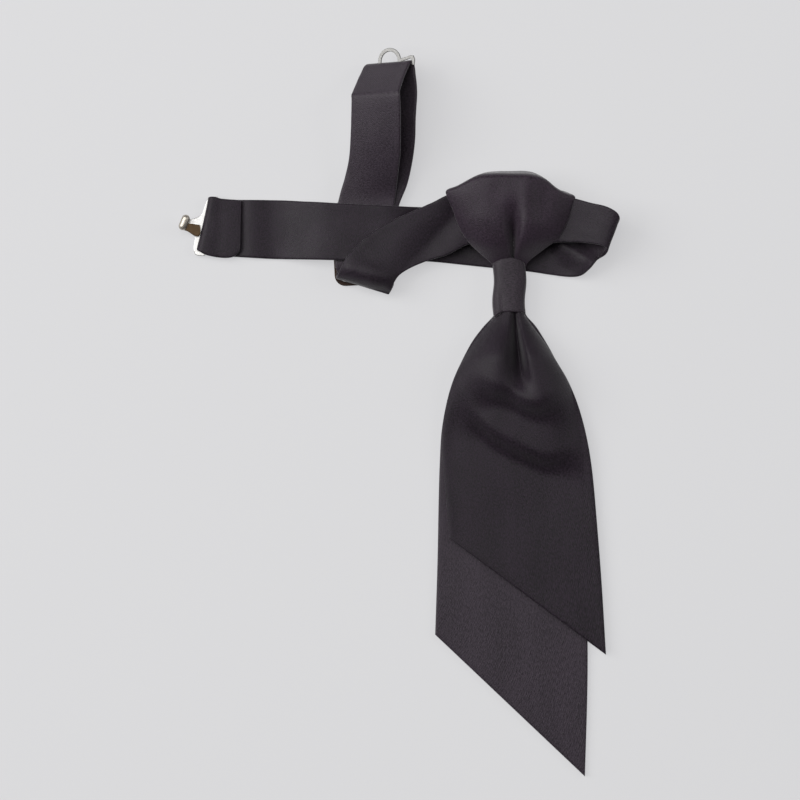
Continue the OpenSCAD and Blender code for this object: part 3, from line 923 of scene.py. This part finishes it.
# Eye: bar in the doubled strap, its right end turned down, and a D-shaped loop
eye_pos = Vector(joints["eye_pivot"]["pos_m"])
eye_axis = Vector(joints["eye_pivot"]["axis"])
eye_slope = math.atan2(eye_axis.z, eye_axis.x)
loop_outer = arc(0.1, 2.4, 5.5, 175, 8, 20)
loop_inner = arc(0.1, 2.4, 4.4, 0, 180, 20) + [(-4.2, 0.9), (4.4, 0.9)]
eye_outline = (
    [(-10.6, -0.8), (-10.6, 0.2), (-5.4, 0.4)] + loop_outer
    + [(6.2, 3.3), (8.6, 3.7), (10.6, 4.4), (12.0, 4.2), (12.6, 2.8), (12.4, 0.6), (11.7, 0.6),
       (11.6, 2.6), (10.5, 3.5), (8.6, 2.9), (6.2, 2.4), (5.2, 0.6), (4.6, -0.8)]
)
# The eye's nickel is darkened: painted shade.
eye = cut_plate("eye_metal", eye_outline, STAMPED_T, NICKEL_PAINTED_SHADE, holes=(loop_inner,))
move(eye, Matrix.Translation(eye_pos) @ Matrix.Rotation(-eye_slope, 4, "Y"))
eye = joined("eye_metal", [eye])
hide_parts("eye")
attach(eye, "eye")

# Slide: a rounded frame low on the floor, and a middle bar under the sewn end
low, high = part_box("adjuster")
middle_x = (low.x + high.x) / 2 / MM
slide_half, slide_low, slide_high = 12.5, low.y / MM + 0.9, high.y / MM
slide_middle = (slide_low + slide_high) / 2
corner = 4.4
corner_x = slide_half - corner
slide_ring = [
    point
    for cx, cy, start in (
        (corner_x, slide_high - corner, 0), (-corner_x, slide_high - corner, 90),
        (-corner_x, slide_low + corner, 180), (corner_x, slide_low + corner, 270),
    )
    for point in arc(cx, cy, corner, start, start + 90, 6)
]
slide_hole = [
    (x * (slide_half - 1) / slide_half, lerp(slide_middle, y, 0.84)) for x, y in slide_ring
]
# The slide plate's near-black brown is painted shade under the roll.
slide_plate = cut_plate("slide_plate", slide_ring, 1.0, SLIDE_PAINTED_SHADE, holes=(slide_hole,))
slide_turn = Matrix.Rotation(0.05, 4, "Z")
move(slide_plate, Matrix.Translation((middle_x * MM, 0, low.z + 0.55 * MM)) @ slide_turn)
bar_z, bar_radius = 4.5, 0.55
slide_bar = round_bar(
    "slide_bar", (middle_x - slide_half, slide_middle, bar_z),
    (middle_x + slide_half, slide_middle, bar_z), bar_radius, NICKEL,
)
slide = joined("adjuster_metal", [slide_plate, slide_bar])
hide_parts("adjuster")
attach(slide, "adjuster")

for name in ("hook_strap_stitches", "adjuster_stitches"):
    stitch_node = frame["nodes"][name]
    stitch_node.data.materials.clear()
    stitch_node.data.materials.append(THREAD)


# ---- Floor, light and camera ------------------------------------------------------------

FLOOR_COLOUR = (0.20, 0.20, 0.20, 1)
FLOOR_GLOW = (0.505, 0.504, 0.516, 1)
FLOOR_HALF = 12.0
FLOOR_GAP = 0.0003
WORLD_LIGHT = 0.06
FIELD = 1.108  # width that the camera sees, as a multiple of the object's length
LENS = 200

middle = (cad_low + cad_high) / 2
length = cad_high.y - cad_low.y


def make_floor():
    """Pale sheet that glows a little, so the shadows on it stay faint."""
    material, _, shader = new_material("floor")
    shader.inputs["Base Color"].default_value = FLOOR_COLOUR
    shader.inputs["Emission Color"].default_value = FLOOR_GLOW
    shader.inputs["Emission Strength"].default_value = 1.0
    shader.inputs["Roughness"].default_value = 0.9
    shader.inputs["Specular IOR Level"].default_value = 0.1
    mesh = bpy.data.meshes.new("floor")
    z = cad_low.z - FLOOR_GAP
    half = FLOOR_HALF
    corners = [(-half, -half, z), (half, -half, z), (half, half, z), (-half, half, z)]
    mesh.from_pydata(corners, [], [(0, 1, 2, 3)])
    mesh.materials.append(material)
    floor = placed("floor", mesh)


def area_light(name, place, size, power):
    """Square light at a place seen from the object's middle, and turned to it."""
    light = bpy.data.lights.new(name, "AREA")
    light.shape = "SQUARE"
    light.size = size
    light.energy = power
    lamp = bpy.data.objects.new(name, light)
    lamp.location = middle + Vector(place)
    lamp.rotation_euler = (middle - lamp.location).to_track_quat("-Z", "Y").to_euler()
    bpy.context.scene.collection.objects.link(lamp)


make_floor()
area_light("key", (-1.5, 0.45, 1.3), 1.4, 34.5)
area_light("overhead", (-0.4, 0.60, 2.2), 1.3, 21)
area_light("side", (1.5, 0.4, 1.0), 0.9, 7.5)

world = bpy.data.worlds.new("studio")
bpy.context.scene.world = world
world.use_nodes = True
background = world.node_tree.nodes["Background"]
background.inputs["Color"].default_value = (0.98, 0.98, 1.0, 1)
background.inputs["Strength"].default_value = WORLD_LIGHT

camera_data = bpy.data.cameras.new("camera")
camera_data.lens = LENS
camera = bpy.data.objects.new("camera", camera_data)
distance = FIELD * length * LENS / camera_data.sensor_width
camera.location = (middle.x - 0.0004, middle.y + 0.0049, distance)
bpy.context.scene.collection.objects.link(camera)
bpy.context.scene.camera = camera
bpy.context.scene.view_settings.view_transform = "Standard"
